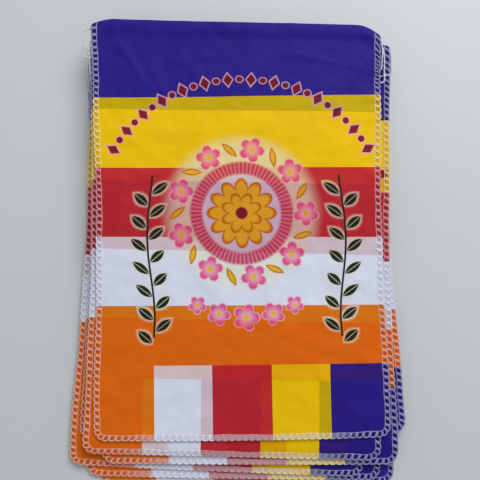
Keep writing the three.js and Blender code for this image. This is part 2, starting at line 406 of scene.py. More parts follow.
def rounded(route, step):
    """A smooth line through the points of a route, with no stretch longer than step."""
    gaps = np.linalg.norm(np.diff(route, axis=0), axis=1)
    route = route[np.concatenate([[True], gaps > 0.01])]
    gaps = np.linalg.norm(np.diff(route, axis=0), axis=1)
    going = np.zeros_like(route)
    into = np.diff(route, axis=0) / gaps[:, None]
    weight = gaps[1:, None] / (gaps[1:] + gaps[:-1])[:, None]
    going[1:-1] = into[:-1] * weight + into[1:] * (1 - weight)
    going[0], going[-1] = into[0], into[-1]
    line = []
    for i, gap in enumerate(gaps):
        count = max(2, math.ceil(gap / step)) if gap > 0.6 else 1
        t = np.arange(count)[:, None] / count
        start, end = route[i], route[i + 1]
        line.append(
            (1 + 2 * t) * (1 - t) ** 2 * start
            + t**2 * (3 - 2 * t) * end
            + gap * t * (1 - t) * ((1 - t) * going[i] - t * going[i + 1])
        )
    return np.concatenate([*line, route[-1:]])


# Helpers for meshes.


def deselect():
    """Nothing selected, so that an operator acts on new pieces only."""
    bpy.ops.object.select_all(action="DESELECT")


def give_uv(mesh, name, places):
    """A UV map from one pair of numbers a vertex."""
    corners = np.empty(len(mesh.loops), np.int32)
    mesh.loops.foreach_get("vertex_index", corners)
    layer = mesh.uv_layers.new(name=name)
    layer.uv.foreach_set("vector", places[corners].astype(np.float32).ravel())


def coordinates(mesh):
    """A mesh's vertices, one row each."""
    found = np.empty(len(mesh.vertices) * 3, np.float32)
    mesh.vertices.foreach_get("co", found)
    return found.reshape(-1, 3).astype(float)


def move_to(mesh, points):
    """Every vertex to its own new place."""
    mesh.vertices.foreach_set("co", points.astype(np.float32).ravel())
    mesh.update()


def finished(piece, name, slot, *materials):
    """A piece's name, finish and body."""
    piece.name = name
    piece.data.name = name
    piece.data.materials.clear()
    for material in materials:
        piece.data.materials.append(material)
    piece.data.shade_smooth()
    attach(piece, "root")
    return piece


def apply_modifiers(piece):
    """All of a piece's modifiers, in their order."""
    bpy.context.view_layer.objects.active = piece
    for modifier in list(piece.modifiers):
        bpy.ops.object.modifier_apply(modifier=modifier.name)


def cord_mesh(line, radius, sides):
    """A closed tube round a line that never stands upright, with a UV map of its wraps."""
    going = np.gradient(line, axis=0)
    going /= np.linalg.norm(going, axis=1)[:, None]
    sideways = np.cross([0, 0, 1.0], going)
    sideways /= np.linalg.norm(sideways, axis=1)[:, None]
    upwards = np.cross(going, sideways)
    angles = 2 * np.pi * (np.arange(sides) + 0.5) / sides
    ring = sideways[:, None] * np.cos(angles)[:, None] + upwards[:, None] * np.sin(angles)[:, None]
    points = (line[:, None] + radius * ring).reshape(-1, 3)
    run = np.concatenate([[0], np.cumsum(np.linalg.norm(np.diff(line, axis=0), axis=1))])
    faces, wraps = [], []
    for step, (start, end) in enumerate(zip(run, run[1:])):
        for side in range(sides):
            here, beside = (step * sides + each % sides for each in (side, side + 1))
            faces.append((here, beside, beside + sides, here + sides))
            left, right = side / sides, (side + 1) / sides
            wraps += [(left, start), (right, start), (right, end), (left, end)]
    last = (len(line) - 1) * sides
    faces.append(tuple(reversed(range(sides))))
    faces.append(tuple(range(last, last + sides)))
    wraps += [(0, 0)] * sides + [(0, run[-1])] * sides
    mesh = bpy.data.meshes.new("cord")
    mesh.from_pydata(metres(points).tolist(), [], faces)
    layer = mesh.uv_layers.new(name="wraps")
    layer.uv.foreach_set("vector", np.array(wraps, np.float32).ravel())
    return mesh


# The threads of one overlock stitch, seen with the flag's edge at the left: how far along the
# edge, how far in from it, and how high above the middle of the cloth.
UPPER_LOOPER = (
    (-1.45, -0.08, 0.2),
    (-0.95, -0.08, 0.2),
    (-0.3, 0.05, 0.4),
    (0.3, 0.75, 0.52),
    (0.75, 1.9, 0.52),
    (1.15, 2.9, 0.5),
    (1.65, 3.45, 0.44),
    (1.98, 3.0, 0.5),
    (1.62, 1.95, 0.56),
    (1.2, 0.9, 0.56),
    (1.35, 0.12, 0.46),
    (2.0, -0.12, 0.26),
    (2.55, -0.08, 0.2),
    (3.05, -0.08, 0.2),
)
LOWER_LOOPER = (
    (-1.45, 0.1, -0.3),
    (-0.95, 0.1, -0.3),
    (-0.2, 0.5, -0.46),
    (0.7, 2.0, -0.46),
    (1.5, 3.3, -0.44),
    (1.9, 2.2, -0.46),
    (1.9, 0.7, -0.46),
    (2.55, 0.1, -0.3),
    (3.05, 0.1, -0.3),
)
NEEDLE = (
    (-1.45, 3.42, 0.2),
    (-0.95, 3.42, 0.36),
    (0.8, 3.42, 0.4),
    (2.55, 3.42, 0.36),
    (3.05, 3.42, 0.2),
)
STITCH_START = -1.45
STITCH_PITCH = 4.5

# One lockstitch of a hem's seam, in the same way.
SEAM_STITCH = (
    (0.0, 0.0, 0.0),
    (0.25, 0.0, 0.16),
    (0.7, 0.0, 0.24),
    (2.0, 0.0, 0.24),
    (2.45, 0.0, 0.16),
    (2.7, 0.0, 0.0),
)
SEAM_FROM_FOLD = 10.8
SEAM_PITCH = 3.1
SEAM_MARGIN = 2
SEAM_THREAD = 0.3
SEAM_TINT = 0.98

# How near two stitches' ends are when a row runs them into one another.
MERGE_WITHIN = 0.03

# The string's mesh: its longest step, and its sides.
STRING_STEP = 6
STRING_SIDES = 8


def thread(points, diameter):
    """One thread of a stitch, as an open tube through its points."""
    deselect()
    bpy.ops.curve.primitive_bezier_curve_add(location=(0, 0, 0))
    made = bpy.context.object
    curve = made.data
    curve.dimensions = "3D"
    curve.twist_mode = "Z_UP"
    curve.resolution_u = 1
    curve.bevel_depth = diameter / 2
    curve.bevel_resolution = 1
    spline = curve.splines[0]
    spline.bezier_points.add(len(points) - 2)
    for knot, where in zip(spline.bezier_points, points):
        knot.handle_left_type = "VECTOR"
        knot.handle_right_type = "VECTOR"
        knot.co = where
    bpy.ops.object.convert(target="MESH")
    return bpy.context.object


def joined(pieces):
    """Several pieces as one, which is the first of them."""
    deselect()
    for piece in pieces:
        piece.select_set(True)
    bpy.context.view_layer.objects.active = pieces[0]
    if len(pieces) > 1:
        bpy.ops.object.join()
    return pieces[0]


def row_of(threads, step, count, unbroken=True):
    """A row of like stitches, run into one another if it is unbroken, with its ends closed."""
    row = joined(threads)
    array = row.modifiers.new("Stitches", "ARRAY")
    array.count = count
    array.use_relative_offset = False
    array.use_constant_offset = True
    array.constant_offset_displace = (step, 0, 0)
    array.use_merge_vertices = unbroken
    array.merge_threshold = MERGE_WITHIN
    apply_modifiers(row)
    bpy.ops.object.mode_set(mode="EDIT")
    bpy.ops.mesh.select_all(action="SELECT")
    bpy.ops.mesh.fill_holes(sides=12)
    bpy.ops.mesh.normals_make_consistent(inside=False)
    bpy.ops.object.mode_set(mode="OBJECT")
    return row


def copied(row, name):
    """A copy of a row with a mesh of its own."""
    made = bpy.data.objects.new(name, row.data.copy())
    bpy.context.scene.collection.objects.link(made)
    return made


# How far apart an edge line's points are, and how far up the cloth its fine steps begin.
EDGE_STEP = 2
FOLD_STEP = 0.5
FOLD_FROM = 272
CORNER_POINTS = 13


class EdgeLine:
    """A flag's stitched edge: down the left side, along the free edge and up the right side."""

    def __init__(self):
        round_fold = np.arange(LINE_ALONG[-1] - 0.3, FOLD_FROM, -FOLD_STEP)
        side = np.concatenate([round_fold, np.arange(FOLD_FROM, CORNER_RADIUS, -EDGE_STEP)])
        angle = np.linspace(0, np.pi / 2, CORNER_POINTS)
        corner = CORNER_RADIUS * (1 - np.sin(angle))
        down = np.concatenate([side, corner])
        up = np.interp(down, LINE_ALONG, CLOTH_LINE[:, 0])
        left = np.stack([-half_width(up), down], axis=1)
        reach = FLAG_WIDTH / 2 - CORNER_RADIUS
        across = np.arange(EDGE_STEP - reach, reach, EDGE_STEP, float)
        foot = np.stack([across, np.zeros_like(across)], axis=1)
        points = np.concatenate([left, foot, left[::-1] * (-1, 1)])
        steps = np.hypot(*np.diff(points, axis=0).T)
        points = points[np.concatenate([[True], steps > 0.01])]
        steps = np.hypot(*np.diff(points, axis=0).T)
        self.run = np.concatenate([[0], np.cumsum(steps)])
        self.points = points
        going = np.gradient(points, self.run, axis=0)
        going /= np.hypot(*going.T)[:, None]
        self.inward = np.stack([-going[:, 1], going[:, 0]], axis=1)

    def at(self, run, inward):
        """Across and along the cloth, at a distance along the edge and in from it."""
        run = np.clip(run, 0, self.run[-1])
        found = [np.interp(run, self.run, self.points[:, i]) for i in (0, 1)]
        turned = [np.interp(run, self.run, self.inward[:, i]) for i in (0, 1)]
        size = np.hypot(*turned)
        return [start + inward * lean / size for start, lean in zip(found, turned)]


# Materials.


def linear(code):
    """A screen colour such as 0x2D1F86 as the four numbers that a shader takes."""
    parts = [(code >> shift & 255) / 255 for shift in (16, 8, 0)]
    return (*[p / 12.92 if p <= 0.04045 else ((p + 0.055) / 1.055) ** 2.4 for p in parts], 1.0)


def operator(operation, turned=False):
    """An operator of Value, which adds one Math node. Its sides may be turned round."""

    def add_node(self, other):
        sides = (other, self) if turned else (self, other)
        return self.finish.math(operation, *sides)

    return add_node


class Value:
    """A number of a material. Python's operators on it add its Math nodes."""

    __add__ = operator("ADD")
    __radd__ = operator("ADD")
    __sub__ = operator("SUBTRACT")
    __rsub__ = operator("SUBTRACT", turned=True)
    __mul__ = operator("MULTIPLY")
    __truediv__ = operator("DIVIDE")
    __mod__ = operator("FLOORED_MODULO")
    __pow__ = operator("POWER")
    __gt__ = operator("GREATER_THAN")
    __lt__ = operator("LESS_THAN")

    def __init__(self, finish, socket):
        self.finish = finish
        self.socket = socket

    def __abs__(self):
        return self.finish.math("ABSOLUTE", self)

    def rise(self, low, high):
        """0 below low and 1 above high, with a smooth rise between."""
        settings = {"interpolation_type": "SMOOTHSTEP"}
        return self.finish.node(
            "ShaderNodeMapRange", settings, {"Value": self, "From Min": low, "From Max": high}
        )

    def fall(self, low, high):
        """1 below low and 0 above high, with a smooth fall between."""
        return 1 - self.rise(low, high)


class Finish:
    """A material and the nodes that it is made of."""

    def __init__(self, name):
        self.material = bpy.data.materials.new(name)
        self.material.use_nodes = True
        self.tree = self.material.node_tree
        self.tree.nodes.clear()

    def node(self, kind, settings=None, inputs=None, out=0):
        """One node: its type, its settings, and the values or links of its sockets."""
        made = self.tree.nodes.new(kind)
        for name, value in (settings or {}).items():
            if name == "stops":
                ramp = made.color_ramp
                while len(ramp.elements) < len(value):
                    ramp.elements.new(1.0)
                for element, (position, color) in zip(ramp.elements, value):
                    element.position = position
                    element.color = color
            elif name == "interpolation":
                made.color_ramp.interpolation = value
            else:
                setattr(made, name, value)
        for name, value in (inputs or {}).items():
            if isinstance(value, Value):
                self.tree.links.new(value.socket, made.inputs[name])
            else:
                made.inputs[name].default_value = value
        return Value(self, made.outputs[out]) if made.outputs else None

    def math(self, operation, *values):
        """One Math node."""
        return self.node("ShaderNodeMath", {"operation": operation}, dict(enumerate(values)))

    def mix(self, share, first, second, how="MIX"):
        """Two colours in one, by a share of the second."""
        settings = {"data_type": "RGBA", "blend_type": how}
        return self.node("ShaderNodeMix", settings, {0: share, 6: first, 7: second}, out=2)

    def ramp(self, share, stops, interpolation="LINEAR"):
        """A colour off a ramp."""
        settings = {"interpolation": interpolation, "stops": stops}
        return self.node("ShaderNodeValToRGB", settings, {"Fac": share})

    def split(self, vector):
        """The first two numbers of a vector."""
        return [self.node("ShaderNodeSeparateXYZ", {}, {0: vector}, out=i) for i in (0, 1)]

    def uv(self, name):
        """A UV map's two numbers."""
        return self.split(self.node("ShaderNodeUVMap", {"uv_map": name}))

    def pair(self, x, y):
        """Two numbers as a vector."""
        return self.node("ShaderNodeCombineXYZ", {}, {0: x, 1: y})

    def spot(self):
        """Object coordinates."""
        return self.node("ShaderNodeTexCoord", out="Object")

    def shaded(self, color, share):
        """A colour made brighter or darker by a share."""
        if not isinstance(color, Value):
            color = color[:3]
        settings = {"operation": "SCALE"}
        return self.node("ShaderNodeVectorMath", settings, {0: color, "Scale": share})

    def noise(self, where, scale, detail=2.0, roughness=0.5):
        """Even noise from 0 to 1, about a half."""
        inputs = {"Vector": where, "Scale": scale, "Detail": detail, "Roughness": roughness}
        return self.node("ShaderNodeTexNoise", {}, inputs)

    def bump(self, height, distance, strength=1.0, normal=None):
        """A normal from a height, which is a share of distance in metres."""
        inputs = {"Height": height, "Distance": distance, "Strength": strength}
        if normal is not None:
            inputs["Normal"] = normal
        return self.node("ShaderNodeBump", {}, inputs)

    def surface(self, **inputs):
        """The shader and the material's output. Names are the shader's, with _ for a space."""
        inputs = {name.replace("_", " "): value for name, value in inputs.items()}
        shader = self.node("ShaderNodeBsdfPrincipled", {}, inputs)
        self.node("ShaderNodeOutputMaterial", {}, {"Surface": shader})
        return self.material


# The stripes of the print, up the flag and then across it: where each one begins, and its
# colour's name. The print reaches a little past both sides of the cloth.
PRINT_REACH = 110
LEVELS = ((0, "orange"), (87.1, "white"), (132.9, "red"), (180.8, "yellow"), (230.3, "indigo"))
UPRIGHTS = ((-PRINT_REACH, "orange"), (-60, "white"), (-20, "red"), (20, "yellow"), (60, "indigo"))
UPRIGHTS_UP_TO = 47.2


def stripes(finish, cloth, x, y):
    """The colour of the stripes at a place on the print."""
    levels = [(at / FLAG_LENGTH, getattr(cloth, name)) for at, name in LEVELS]
    uprights = [((at + PRINT_REACH) / (2 * PRINT_REACH), getattr(cloth, name)) for at, name in UPRIGHTS]
    level = finish.ramp(y / FLAG_LENGTH, levels, "CONSTANT")
    upright = finish.ramp((x + PRINT_REACH) / (2 * PRINT_REACH), uprights, "CONSTANT")
    return finish.mix(y < UPRIGHTS_UP_TO, level, upright)


def off_middle(x, y):
    """How far a place is from the middle of a motif."""
    return (x * x + y * y) ** 0.5


def polar(finish, x, y):
    """Distance and angle of a place from the middle of a motif."""
    return off_middle(x, y), finish.math("ARCTAN2", y, x)


def in_sector(finish, distance, angle, count):
    """A place turned into the first of a ring's like sectors."""
    width = 2 * math.pi / count
    within = ((angle / width + count) % 1 - 0.5) * width
    return distance * finish.math("COSINE", within), distance * finish.math("SINE", within)


def petals(finish, distance, angle, count, size, waist):
    """How far inside a flower's outline a place is, as a share of its size."""
    wave = abs(finish.math("COSINE", angle * (count / 2)))
    return (wave**0.7 * (1 - waist) + waist) * size - distance


def blossom(finish, below, x, y, size, cloth, turn=0.0):
    """A five-petalled blossom over what is below it."""
    distance, angle = polar(finish, x, y)
    inside = petals(finish, distance, angle + turn, 5, size, 0.55)
    below = finish.mix(inside.rise(-1.1, -0.1), below, cloth.blush)
    color = finish.mix((distance / size).rise(0.15, 0.9), cloth.blush, cloth.blossom)
    below = finish.mix(inside.rise(0.0, 0.5), below, color)
    return finish.mix(distance.fall(0.16 * size, 0.26 * size), below, cloth.gold)


def leaf(x, y, length, width):
    """How far inside a leaf's outline a place is. The leaf points along x from its middle."""
    share = x / (length / 2)
    return (1 - share * share) * (width / 2) - abs(y)


WREATH_RADIUS = 44
WREATH_COUNT = 9


def medallion(finish, below, cloth, x, y):
    """A wreath of blossoms and golden leaves round a golden rosette."""
    distance, angle = polar(finish, x, y)
    below = finish.mix(distance.fall(44, 57) * 0.75, below, cloth.glow)
    rays = finish.math("COSINE", angle * 72).rise(-0.6, 0.6)
    ring = distance.rise(25.5, 28) * distance.fall(34, 36.5)
    below = finish.mix(distance.fall(33, 36), below, cloth.lilac)
    below = finish.mix(ring * (0.72 + rays * 0.28), below, cloth.rose)

    outer = petals(finish, distance, angle, 12, 24, 0.72)
    inner = petals(finish, distance, angle + math.pi / 8, 8, 14, 0.6)
    below = finish.mix(outer.rise(-0.5, 0.2), below, cloth.amber)
    below = finish.mix(outer.rise(1.0, 3.6), below, cloth.gold)
    below = finish.mix(inner.rise(-0.9, -0.2), below, cloth.amber)
    below = finish.mix(inner.rise(0.3, 2.4), below, cloth.gold)
    below = finish.mix(distance.fall(3.6, 4.6), below, cloth.wine)

    out, beside = in_sector(finish, distance, angle, WREATH_COUNT)
    out = out - WREATH_RADIUS
    slanted = leaf(out + beside * 0.55, beside - out * 0.75, 15, 5.2)
    below = finish.mix(slanted.rise(-0.7, 0.1), below, cloth.amber)
    below = finish.mix(slanted.rise(0.3, 1.5), below, cloth.gold)
    halfway = angle + math.pi / WREATH_COUNT
    out, beside = in_sector(finish, distance, halfway, WREATH_COUNT)
    return blossom(finish, below, out - WREATH_RADIUS, beside, 8.6, cloth, turn=0.3)


def swag(finish, below, cloth, x, y):
    """A swag of blossoms, the same to the left and right."""
    away = abs(x)
    for across, up, size in ((33, 3.5, 6.0), (18.5, -2.5, 7.6), (0, -5, 9.0)):
        beside = away - across if across else x
        below = blossom(finish, below, beside, y - up, size, cloth, turn=0.16 * across)
    return below


SPRAY_AWAY = 65.5
SPRAY_FROM = 66
SPRAY_TO = 176
LEAF_STEP = 15.5
LEAF_COUNT = 7
LEAF_HEADING = (0.78, 0.62)


def sprays(finish, below, cloth, x, y):
    """A leafy spray up each side, dark on a pale glow."""
    stem = abs(x) - SPRAY_AWAY - finish.math("SINE", y / 17) * 2.2
    cells = (y - SPRAY_FROM) / LEAF_STEP + (stem > 0) * 0.5
    whole = (cells > 0) * (cells < LEAF_COUNT)
    away = abs(stem)
    out, up = away - 6.0, (cells % 1) * LEAF_STEP - 8.0
    level, steep = LEAF_HEADING
    beside = up * level - out * steep
    inside = leaf(out * level + up * steep, beside, 13.5, 6.0)
    glow = inside.rise(-2.6, 0.2) * whole
    below = finish.mix(glow * 0.8, below, cloth.glow)
    line = away.fall(0.5, 0.9) * (y > SPRAY_FROM) * (y < SPRAY_TO)
    vein = abs(beside).rise(0.1, 0.35)
    blade = inside.rise(-0.1, 0.25) * (0.25 + vein * 0.75) * whole
    return finish.mix(finish.math("MAXIMUM", blade, line), below, cloth.leaf)


ARCH_RADIUS = 101
ARCH_REACH = 109
ARCH_PITCH = 8.1


def arch(finish, below, cloth, x, y):
    """A row of lozenges and beads on an arch over the wreath."""
    distance, angle = polar(finish, x, y)
    run = (angle - math.pi / 2) * ARCH_RADIUS
    cells = run / ARCH_PITCH + 60.5
    beside = (cells % 1 - 0.5) * ARCH_PITCH
    off = distance - ARCH_RADIUS
    odd = (cells / 2) % 1 > 0.5
    lozenge = 1 - abs(beside) / 3.3 - abs(off) / 5.0
    bead = 1 - off_middle(beside, off) / 2.3
    inside = lozenge * odd + bead * (1 - odd)
    held = abs(run).fall(ARCH_REACH, ARCH_REACH + 1)
    below = finish.mix(inside.rise(-0.42, -0.2) * held, below, cloth.blush)
    return finish.mix(inside.rise(-0.02, 0.08) * held, below, cloth.wine)


# The motifs of the print, the lowest first, and where each one's middle lies.
MOTIFS = ((medallion, 2, 150), (swag, 4, 84), (sprays, 5, 0), (arch, 2, 143))

# What the map of the flag beneath says where there is none.
NO_FLAG = -1000.0


def striped_cloth(cloth, name, reverse):
    """The printed cloth, its face or its paler reverse."""
    finish = Finish(name)
    x, y = finish.uv("print")
    where = finish.pair(x, y)

    # The ink creeps along the knit, so its edges are slightly ragged.
    creep = (finish.noise(where, 1.6) - 0.5) * 0.22
    inked_x, inked_y = x + creep, y + creep
    color = stripes(finish, cloth, inked_x, inked_y)
    for motif, across, up in MOTIFS:
        color = motif(finish, color, cloth, inked_x - across, inked_y - up)

    # What lies beneath darkens the cloth, as it is thin.
    below_x, below_y = finish.uv("beneath")
    beneath = stripes(finish, cloth, below_x, below_y)
    on_surface = below_y < NO_FLAG / 2
    beneath = finish.mix(on_surface, beneath, cloth.white)
    color = finish.mix(cloth.show_through, color, beneath, "MULTIPLY")

    # Between its stitches, where the cloth is drawn together, it is painted darker and deeper in
    # colour, as shade among the threads. Along the free edge, away from the corners, the cloth
    # between the stitches is paled towards white.
    beside, along = finish.uv("edge")
    # Painted shade among the threads: darker, deeper colour between the stitches.
    between = finish.math("MINIMUM", beside, along).fall(2.9, 3.6)
    color = finish.mix(between * cloth.stitch_shade, color, color, "MULTIPLY")
    color = finish.shaded(color, 1 - between * 0.14)
    # The cloth between the free edge's stitches is paled towards white, away from the corners.
    pale_foot = along.fall(2.9, 3.6) * beside.rise(15, 50)
    color = finish.mix(pale_foot * cloth.foot_paling, color, cloth.white)

    # The knit's wales and courses, and the ink's slight unevenness.
    gauge = cloth.gauge / MM
    wales = finish.math("SINE", x * (2 * math.pi / gauge))
    courses = finish.math("SINE", y * (2 * math.pi / (0.8 * gauge)))
    knit = wales * 0.5 + courses * 0.35
    streaks = finish.noise(finish.pair(x * 1.4, y * 0.12), 1.0, 3.0)
    clouds = finish.noise(where, 0.035, 3.0)
    shade = 0.94 + knit * 0.025 + (streaks - 0.5) * 0.07 + (clouds - 0.5) * 0.12
    if reverse:
        color = finish.mix(0.28, color, cloth.glow)
    color = finish.shaded(color, shade)
    crinkle = finish.noise(where, 0.055, 1.5, 0.5)
    normal = finish.bump(crinkle, 0.0035, 0.6)
    normal = finish.bump(knit, 0.00006, 0.5, normal)
    return finish.surface(
        Base_Color=color,
        Roughness=0.56 + (streaks - 0.5) * 0.25,
        Normal=normal,
        Sheen_Weight=0.02,
        Sheen_Roughness=0.4,
        Specular_IOR_Level=0.1,
    )


def sewing_thread(cloth, threads, name, share):
    """Thread that takes up some of the colour of the cloth round it."""
    finish = Finish(name)
    x, y = finish.uv("print")
    color = finish.mix(share, threads.color, stripes(finish, cloth, x, y))
    fibres = finish.noise(finish.spot(), 3200, 3.0, 0.7)
    loft = finish.noise(finish.spot(), 420, 2.0)
    shade = 0.93 + (fibres - 0.5) * 0.30 + (loft - 0.5) * 0.16
    return finish.surface(
        Base_Color=finish.shaded(color, shade),
        Roughness=0.72 + (fibres - 0.5) * 0.2,
        Normal=finish.bump(fibres, 0.00012, 0.6),
        Sheen_Weight=0.3 * (1 - share),
        Sheen_Roughness=0.5,
        Specular_IOR_Level=0.3 * (1 - share),
    )


def twisted_string(string):
    """White string of three plies."""
    finish = Finish("white string")
    turn, run = finish.uv("wraps")
    ply = finish.math("SINE", (turn * 3 + run / (string.lay / MM)) * (2 * math.pi))
    fibres = finish.noise(finish.spot(), 3000, 3.0, 0.65)
    shade = 0.9 + ply * 0.07 + (fibres - 0.5) * 0.16
    return finish.surface(
        Base_Color=finish.shaded(string.color, shade),
        Roughness=0.78 + (fibres - 0.5) * 0.2,
        Normal=finish.bump(ply * 0.5 + fibres * 0.3, 0.00025, 0.8),
        Sheen_Weight=0.2,
    )


def pale_floor(stage):
    """A plain pale surface with a faint mottle."""
    finish = Finish("pale floor")
    cloud = finish.noise(finish.spot(), 7.0, 4.0)
    grit = finish.noise(finish.spot(), 240.0, 3.0)
    shade = 0.98 + (cloud - 0.5) * 0.06 + (grit - 0.5) * 0.03
    return finish.surface(
        Base_Color=finish.shaded(stage.floor, shade),
        Roughness=0.55 + (grit - 0.5) * 0.1,
        Normal=finish.bump(grit, 0.0002, 0.3),
    )


# The stage, in metres and degrees, and the middle of the view on the pile in millimetres.
FLOOR_WIDTH = 6
SKY = (0.96, 0.98, 1.0, 1)
LAMP_AT = (0.4, 0.8, 0.95)
LAMP_WIDTH = 0.9
CAMERA_ROLL = 0.354
AIM = (2.2227, 132.0287, 15)

# Sizes and colours that a user would change.


def length_setting(name, description, default, low, high):
    """A length in metres."""
    return bpy.props.FloatProperty(
        name=name,
        description=description,
        default=default,
        min=low,
        max=high,
        precision=5,
        subtype="DISTANCE",
        unit="LENGTH",
    )


def share_setting(name, description, default, high=1.0):
    """A share from 0."""
    return bpy.props.FloatProperty(
        name=name, description=description, default=default, min=0, max=high, subtype="FACTOR"
    )


def color_setting(name, description, code):
    """A colour."""
    return bpy.props.FloatVectorProperty(
        name=name,
        description=description,
        default=linear(code),
        min=0,
        max=1,
        size=4,
        subtype="COLOR",
    )


class BuntingCloth(bpy.types.PropertyGroup):
    """The printed cloth."""

    thickness: length_setting("Thickness", "Thickness of the knit cloth", 0.00035, 0.0002, 0.0008)
    gauge: length_setting("Gauge", "Width of one wale of the knit", 0.0007, 0.0003, 0.003)
    show_through: share_setting("Show-through", "How much of the flag below shows through", 0.35)
    # Share of painted shade between the stitches.
    stitch_shade: share_setting("Stitch shade", "How much deeper the colour is between stitches", 0.25)
    # How far the free edge is paled towards white between its stitches.
    foot_paling: share_setting("Foot paling", "How much of the free edge loose fibres hide", 0.42)
    indigo: color_setting("Indigo", "First stripe from the top, and the last upright", 0x36229C)
    yellow: color_setting("Yellow", "Second stripe", 0xFAD600)
    red: color_setting("Red", "Third stripe", 0xCE313E)
    white: color_setting("White", "Fourth stripe", 0xECF0FF)
    orange: color_setting("Orange", "Fifth stripe, and the first upright", 0xF07E10)
    blossom: color_setting("Blossom", "Petals of the blossoms", 0xF0549A)
    blush: color_setting("Blush", "Pale edges of the motifs", 0xF8B8C4)
    rose: color_setting("Rose", "Ring round the rosette", 0xD83E5C)
    lilac: color_setting("Lilac", "Ground of the rosette", 0xE0D2EE)
    gold: color_setting("Gold", "Rosette and golden leaves", 0xF6C22C)
    amber: color_setting("Amber", "Outlines of the golden motifs", 0xD07A14)
    wine: color_setting("Wine", "Lozenges and beads of the arch", 0x8C1C34)
    leaf: color_setting("Leaf", "Leafy sprays", 0x22301A)
    glow: color_setting("Glow", "Pale glow round the motifs", 0xF2F0D8)


class BuntingThreads(bpy.types.PropertyGroup):
    """The overlock stitching and the seams."""

    looper: length_setting("Looper thread", "Thickness of the looper threads", 0.001, 0.0002, 0.0012)
    needle: length_setting("Needle thread", "Thickness of the needle thread", 0.0006, 0.0002, 0.0012)
    stitch: length_setting("Stitch length", "Length of one overlock stitch", 0.0045, 0.002, 0.008)
    tint: share_setting("Tint", "How much of the cloth's colour the white thread takes up", 0.64)
    color: color_setting("Thread", "Overlock thread", 0xF4F2FA)


class BuntingString(bpy.types.PropertyGroup):
    """The string through the hems."""

    diameter: length_setting("Diameter", "Thickness of the string", 0.001, 0.0005, 0.0013)
    lay: length_setting("Lay", "Length of a full turn of one ply", 0.0033, 0.001, 0.01)
    color: color_setting("String", "Undyed string", 0xECEAF2)


class BuntingStage(bpy.types.PropertyGroup):
    """The floor, the lights and the camera."""

    floor: color_setting("Floor", "Floor", 0xD0D5D8)
    light: bpy.props.FloatProperty(
        name="Light", description="Power of the large soft light", default=11.1, min=0, unit="POWER"
    )
    fill: share_setting("Fill", "Strength of the light from all round", 0.42, 4.0)
    distance: length_setting("Camera distance", "From the camera to the pile", 0.45, 0.2, 2.0)
    tilt: bpy.props.FloatProperty(
        name="Camera tilt",
        description="How far from straight down the camera looks",
        default=math.radians(5.739),
        subtype="ANGLE",
        unit="ROTATION",
    )
    lens: bpy.props.FloatProperty(
        name="Lens", description="Focal length", default=49.03, min=10, unit="CAMERA"
    )


# What the buttons do.


class BUNTING_OT_stage(bpy.types.Operator):
    """Set out the floor, the lights and the camera"""

    bl_idname = "bunting.stage"
    bl_label = "Stage"

    def execute(self, context):
        stage = context.scene.bunting_stage
        deselect()
        bpy.ops.mesh.primitive_plane_add(size=FLOOR_WIDTH)
        floor = bpy.context.object
        floor.name = "floor"
        floor.data.materials.append(pale_floor(stage))
        floor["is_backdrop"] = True

        world = bpy.data.worlds.new("studio")
        world.use_nodes = True
        backdrop = world.node_tree.nodes["Background"]
        backdrop.inputs["Color"].default_value = SKY
        backdrop.inputs["Strength"].default_value = stage.fill
        context.scene.world = world
        context.scene.view_settings.view_transform = "Standard"

        bpy.ops.object.light_add(type="AREA", location=LAMP_AT)
        lamp = bpy.context.object
        lamp.name = "soft_light"
        lamp.data.shape = "DISK"
        lamp.data.size = LAMP_WIDTH
        lamp.data.energy = stage.light
        lamp.rotation_euler = Vector(LAMP_AT).to_track_quat("Z", "Y").to_euler()

        bpy.ops.object.camera_add()
        camera = bpy.context.object
        camera.name = "camera"
        camera.data.lens = stage.lens
        camera.data.sensor_width = 36
        roll = math.radians(CAMERA_ROLL)
        aim = Vector(metres(np.array(AIM)))
        forward = Vector((0, math.sin(stage.tilt), -math.cos(stage.tilt)))
        right = forward.cross(Vector((math.sin(roll), math.cos(roll), 0))).normalized()
        upward = right.cross(forward)
        facing = Matrix((right, upward, -forward)).transposed().to_4x4()
        camera.matrix_world = Matrix.Translation(aim - forward * stage.distance) @ facing
        context.scene.camera = camera
        return {"FINISHED"}


class BUNTING_OT_string(bpy.types.Operator):
    """Lay the string through the hems and back behind each flag"""

    bl_idname = "bunting.string"
    bl_label = "String"

    def execute(self, context):
        string = context.scene.bunting_string
        line = rounded(string_route(), STRING_STEP)
        mesh = cord_mesh(line, string.diameter / MM / 2, STRING_SIDES)
        piece = bpy.data.objects.new("white_string", mesh)
        context.scene.collection.objects.link(piece)
        finished(piece, "white_string", "white_thread", twisted_string(string))
        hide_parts("string")
        path = metres(line)
        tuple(path[0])
        return {"FINISHED"}


# Steps across and up each flag's cloth, and the finer ones of the uppermost.
GRID = (48, 60)
TOP_GRID = (130, 150)
FOOT_ROWS = (0, 0.3, 0.9, 1.9, 3.3, 5.2)


